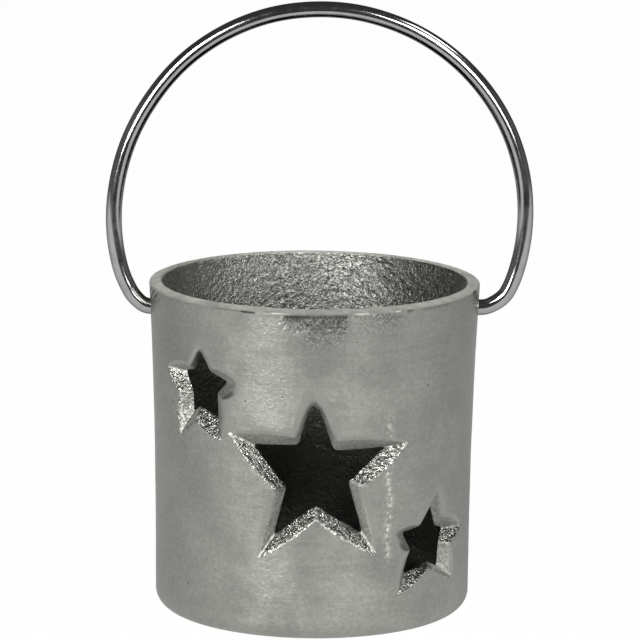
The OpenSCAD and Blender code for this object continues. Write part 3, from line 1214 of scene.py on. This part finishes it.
# %% Star bevels
def star_bevel():
    """As-cast bevels: crinkled and sparkling on the lower edges, filed smoother on the others."""
    material, tree, shader = metal("star_bevel")
    grain = use_group(tree, grain_group, Size=0.65 * MM)
    clouds = use_group(tree, blotch_group, Size=5 * MM)["Tone"]
    flecked = spread(tree, grain["Tone"], 0.0, 1.0, 0.35, 1.0)
    # Painted highlight: marked edges, corners and faces of the bevels are lightened, broken up by the grain
    worn = maths(tree, "MULTIPLY", painted(tree, "worn"), flecked)
    crinkled = painted(tree, "crinkled")
    rough_skin = mixed(tree, grain["Tone"], grey(0.04), grey(0.45))
    rough_skin = mixed(tree, grain["Glint"], rough_skin, grey(0.7))
    inward = painted(tree, "inward")
    filed_skin = mixed(tree, grain["Tone"], grey(0.24), grey(0.38))
    colour = mixed(tree, crinkled, mixed(tree, inward, grey(0.33), filed_skin), rough_skin)
    colour = mixed(tree, maths(tree, "MULTIPLY", clouds, 0.3), colour, grey(0.24))
    colour = mixed(tree, maths(tree, "MULTIPLY", worn, 0.7), colour, grey(0.68))
    feed(tree, shader.inputs["Base Color"], colour)
    filed = spread(tree, inward, 0.0, 1.0, 0.28, 0.6)
    dull = spread(tree, crinkled, 0.0, 1.0, filed, 0.18)
    feed(tree, shader.inputs["Roughness"], maths(tree, "MULTIPLY_ADD", worn, 0.22, dull))
    filed_grain = maths(tree, "MULTIPLY", inward, 0.25)
    raised = maths(tree, "MULTIPLY", grain["Height"], spread(tree, crinkled, 0.0, 1.0, filed_grain, 1.0))
    bumped(tree, shader, raised, 0.55 * MM)
    return material


# %% Underside
def cast_underside():
    """Base: roughly ground flat, with the grain still showing through."""
    material, tree, shader = metal("cast_underside")
    grain = use_group(tree, grain_group, Size=0.9 * MM)
    marks = use_group(tree, marks_group, Length=2.5 * MM, Width=2.5 * MM)
    clouds = use_group(tree, blotch_group, Size=11 * MM)["Tone"]
    feed(tree, shader.inputs["Base Color"], mixed(tree, clouds, grey(0.24), grey(0.36)))
    feed(tree, shader.inputs["Roughness"], maths(tree, "MULTIPLY_ADD", marks["Tone"], 0.25, 0.32))
    bumped(tree, shader, maths(tree, "MULTIPLY", grain["Height"], clouds), 0.2 * MM)
    return material


# In the order of the finishes that the faces of the cup count in
for maker in (ground_wall, ground_rim, cast_inside, star_bevel, cast_underside):
    cup_mesh.materials.append(maker())
print("finishes of the cup:", [material.name for material in cup_mesh.materials])

# %% [markdown]
# ## Finish of the wire
# The wire is plated and polished, so it mirrors the room in long thin bands. Handling leaves dull spots
# and a few pits, which keep the bands from looking drawn with a ruler.

# %% Polished wire
def polished_wire():
    """Bright plating with dull spots and a few pits."""
    material, tree, shader = metal("polished_wire")
    clouds = use_group(tree, blotch_group, Size=6 * MM)["Tone"]
    pit = use_group(tree, pit_group, Spacing=2.4 * MM, Share=0.12, Radius=0.07)["Mask"]
    colour = mixed(tree, clouds, (0.34, 0.34, 0.34, 1.0), (0.4, 0.4, 0.395, 1.0))
    feed(tree, shader.inputs["Base Color"], mixed(tree, pit, colour, (0.2, 0.2, 0.2, 1.0)))
    feed(tree, shader.inputs["Roughness"], maths(tree, "MULTIPLY_ADD", clouds, 0.07, 0.08))
    shader.inputs["Specular Tint"].default_value = (0.3, 0.3, 0.3, 1.0)
    height = maths(tree, "MULTIPLY_ADD", pit, -0.5, maths(tree, "MULTIPLY", clouds, 0.1))
    bumped(tree, shader, height, 0.05 * MM)
    return material


bail_mesh.materials.append(polished_wire())
print("finish of the wire:", bail_mesh.materials[0].name)

# %% [markdown]
# ## Floor, light and camera
# Metal shows its surroundings, so the room matters as much as the finish. Two soft boxes stand left and
# right of the camera and a little above it, and a weak one hangs high on the right. The ceiling is dark
# and the floor is pale. The background is white to the camera, and the metal mirrors a share of it. The
# floor still keeps a little plain diffuse colour for the shadow.

# %% Pale floor
floor_half = 3.0
floor_front = 0.42
floor_gap = 0.1 * MM


def pale_floor():
    """A wide pale sheet under the cup. Its front edge lies below the view, and the room past it is dark."""
    mesh = bpy.data.meshes.new("floor")
    front = [(-floor_half, -floor_front, 0), (floor_half, -floor_front, 0)]
    back = [(floor_half, floor_half, 0), (-floor_half, floor_half, 0)]
    mesh.from_pydata(front + back, [], [(0, 1, 2, 3)])
    material = bpy.data.materials.new("pale_floor")
    material.use_nodes = True
    tree = material.node_tree
    shader = tree.nodes["Principled BSDF"]
    shader.inputs["Base Color"].default_value = (0.8, 0.8, 0.8, 1.0)
    shader.inputs["Roughness"].default_value = 0.9
    white = tree.nodes.new("ShaderNodeEmission")
    path = tree.nodes.new("ShaderNodeLightPath").outputs
    mirrored = maths(tree, "MAXIMUM", path["Is Glossy Ray"], path["Is Transmission Ray"])
    lit = spread(tree, along_axes(tree)["Y"], -0.1, 0.03, 0.79, 0.27)
    shown = maths(tree, "MAXIMUM", path["Is Camera Ray"], maths(tree, "MULTIPLY", mirrored, lit))
    mix = tree.nodes.new("ShaderNodeMixShader")
    feed(tree, mix.inputs[0], maths(tree, "MULTIPLY", shown, 0.98))
    tree.links.new(shader.outputs[0], mix.inputs[1])
    tree.links.new(white.outputs[0], mix.inputs[2])
    tree.links.new(mix.outputs[0], tree.nodes["Material Output"].inputs["Surface"])
    mesh.materials.append(material)
    floor = bpy.data.objects.new("floor", mesh)
    floor.location.z = -floor_gap
    bpy.context.scene.collection.objects.link(floor)


pale_floor()
print(f"floor {2 * floor_half:.0f} m wide, its front edge {floor_front:.2f} m from the axis of the cup")

# %% Room round the cup
def studio_room():
    """White to the camera. To the metal: a white backdrop behind, grey sides and a dark ceiling."""
    world = bpy.data.worlds.new("studio_room")
    world.use_nodes = True
    tree = world.node_tree
    background = tree.nodes["Background"]
    x, y, z = along_axes(tree, "Generated")
    left = spread(tree, x, -0.7, -0.3, 0.12, 0.0)
    right = spread(tree, x, 0.7, 0.95, 0.0, 0.12)
    low = spread(tree, z, 0.25, 0.6, 1.0, 0.0)
    room = maths(tree, "MULTIPLY_ADD", maths(tree, "ADD", left, right), low, 0.07)
    backdrop = maths(tree, "MULTIPLY", spread(tree, y, 0.8, 0.95), low)
    seen = maths(tree, "MAXIMUM", room, backdrop)
    path = tree.nodes.new("ShaderNodeLightPath").outputs
    level = maths(tree, "MAXIMUM", path["Is Camera Ray"], seen)
    tree.links.new(level, background.inputs["Color"])
    bpy.context.scene.world = world


studio_room()
print("room:", bpy.context.scene.world.name)

# %% Soft boxes
focus = Vector((0, 0, cup_height))


def direction(azimuth, elevation):
    """Unit vector towards a place round the cup, where azimuth 0 is in front and grows towards +X."""
    azimuth, elevation = math.radians(azimuth), math.radians(elevation)
    flat = math.cos(elevation)
    return Vector((math.sin(azimuth) * flat, -math.cos(azimuth) * flat, math.sin(elevation)))


def soft_box(name, azimuth, elevation, distance, width, height, watts):
    """A rectangular lamp that faces the cup."""
    lamp = bpy.data.lights.new(name, "AREA")
    lamp.shape = "RECTANGLE"
    lamp.size = width
    lamp.size_y = height
    lamp.energy = watts
    box = bpy.data.objects.new(name, lamp)
    box.location = focus + direction(azimuth, elevation) * distance
    box.rotation_euler = direction(azimuth, elevation).to_track_quat("Z", "Y").to_euler()
    bpy.context.scene.collection.objects.link(box)


box_distance = 1.3
soft_box("left_box", -32, 20, box_distance, width=0.42, height=0.8, watts=22)
soft_box("right_box", 27, 20, box_distance, width=0.42, height=0.8, watts=11.3)
soft_box("high_box", 75, 52, box_distance, width=0.4, height=0.4, watts=3)
print("soft boxes:", [light.name for light in bpy.data.lights])

# %% Camera
photo_focal_px = 4622.56
photo_width_px = 640
camera_distance = 1.162
camera_azimuth = -1.85
camera_elevation = 11.431
camera_roll = math.radians(0.56)
aim_right = 1.446 * MM
aim_up = 72.885 * MM

lens = bpy.data.cameras.new("camera")
lens.sensor_width = 36
lens.lens = lens.sensor_width * photo_focal_px / photo_width_px
lens.clip_start = 0.05
camera = bpy.data.objects.new("camera", lens)
bpy.context.scene.collection.objects.link(camera)
back = direction(camera_azimuth, camera_elevation)
right = Vector((math.cos(math.radians(camera_azimuth)), math.sin(math.radians(camera_azimuth)), 0))
aim = right * aim_right + Vector((0, 0, aim_up))
turned = Matrix((right, back.cross(right), back)).transposed() @ Matrix.Rotation(camera_roll, 3, "Z")
camera.matrix_world = Matrix.Translation(aim + back * camera_distance) @ turned.to_4x4()
bpy.context.scene.camera = camera
bpy.context.scene.view_settings.view_transform = "Standard"
print(f"lens {lens.lens:.1f} mm, camera {camera_distance:.3f} m away")
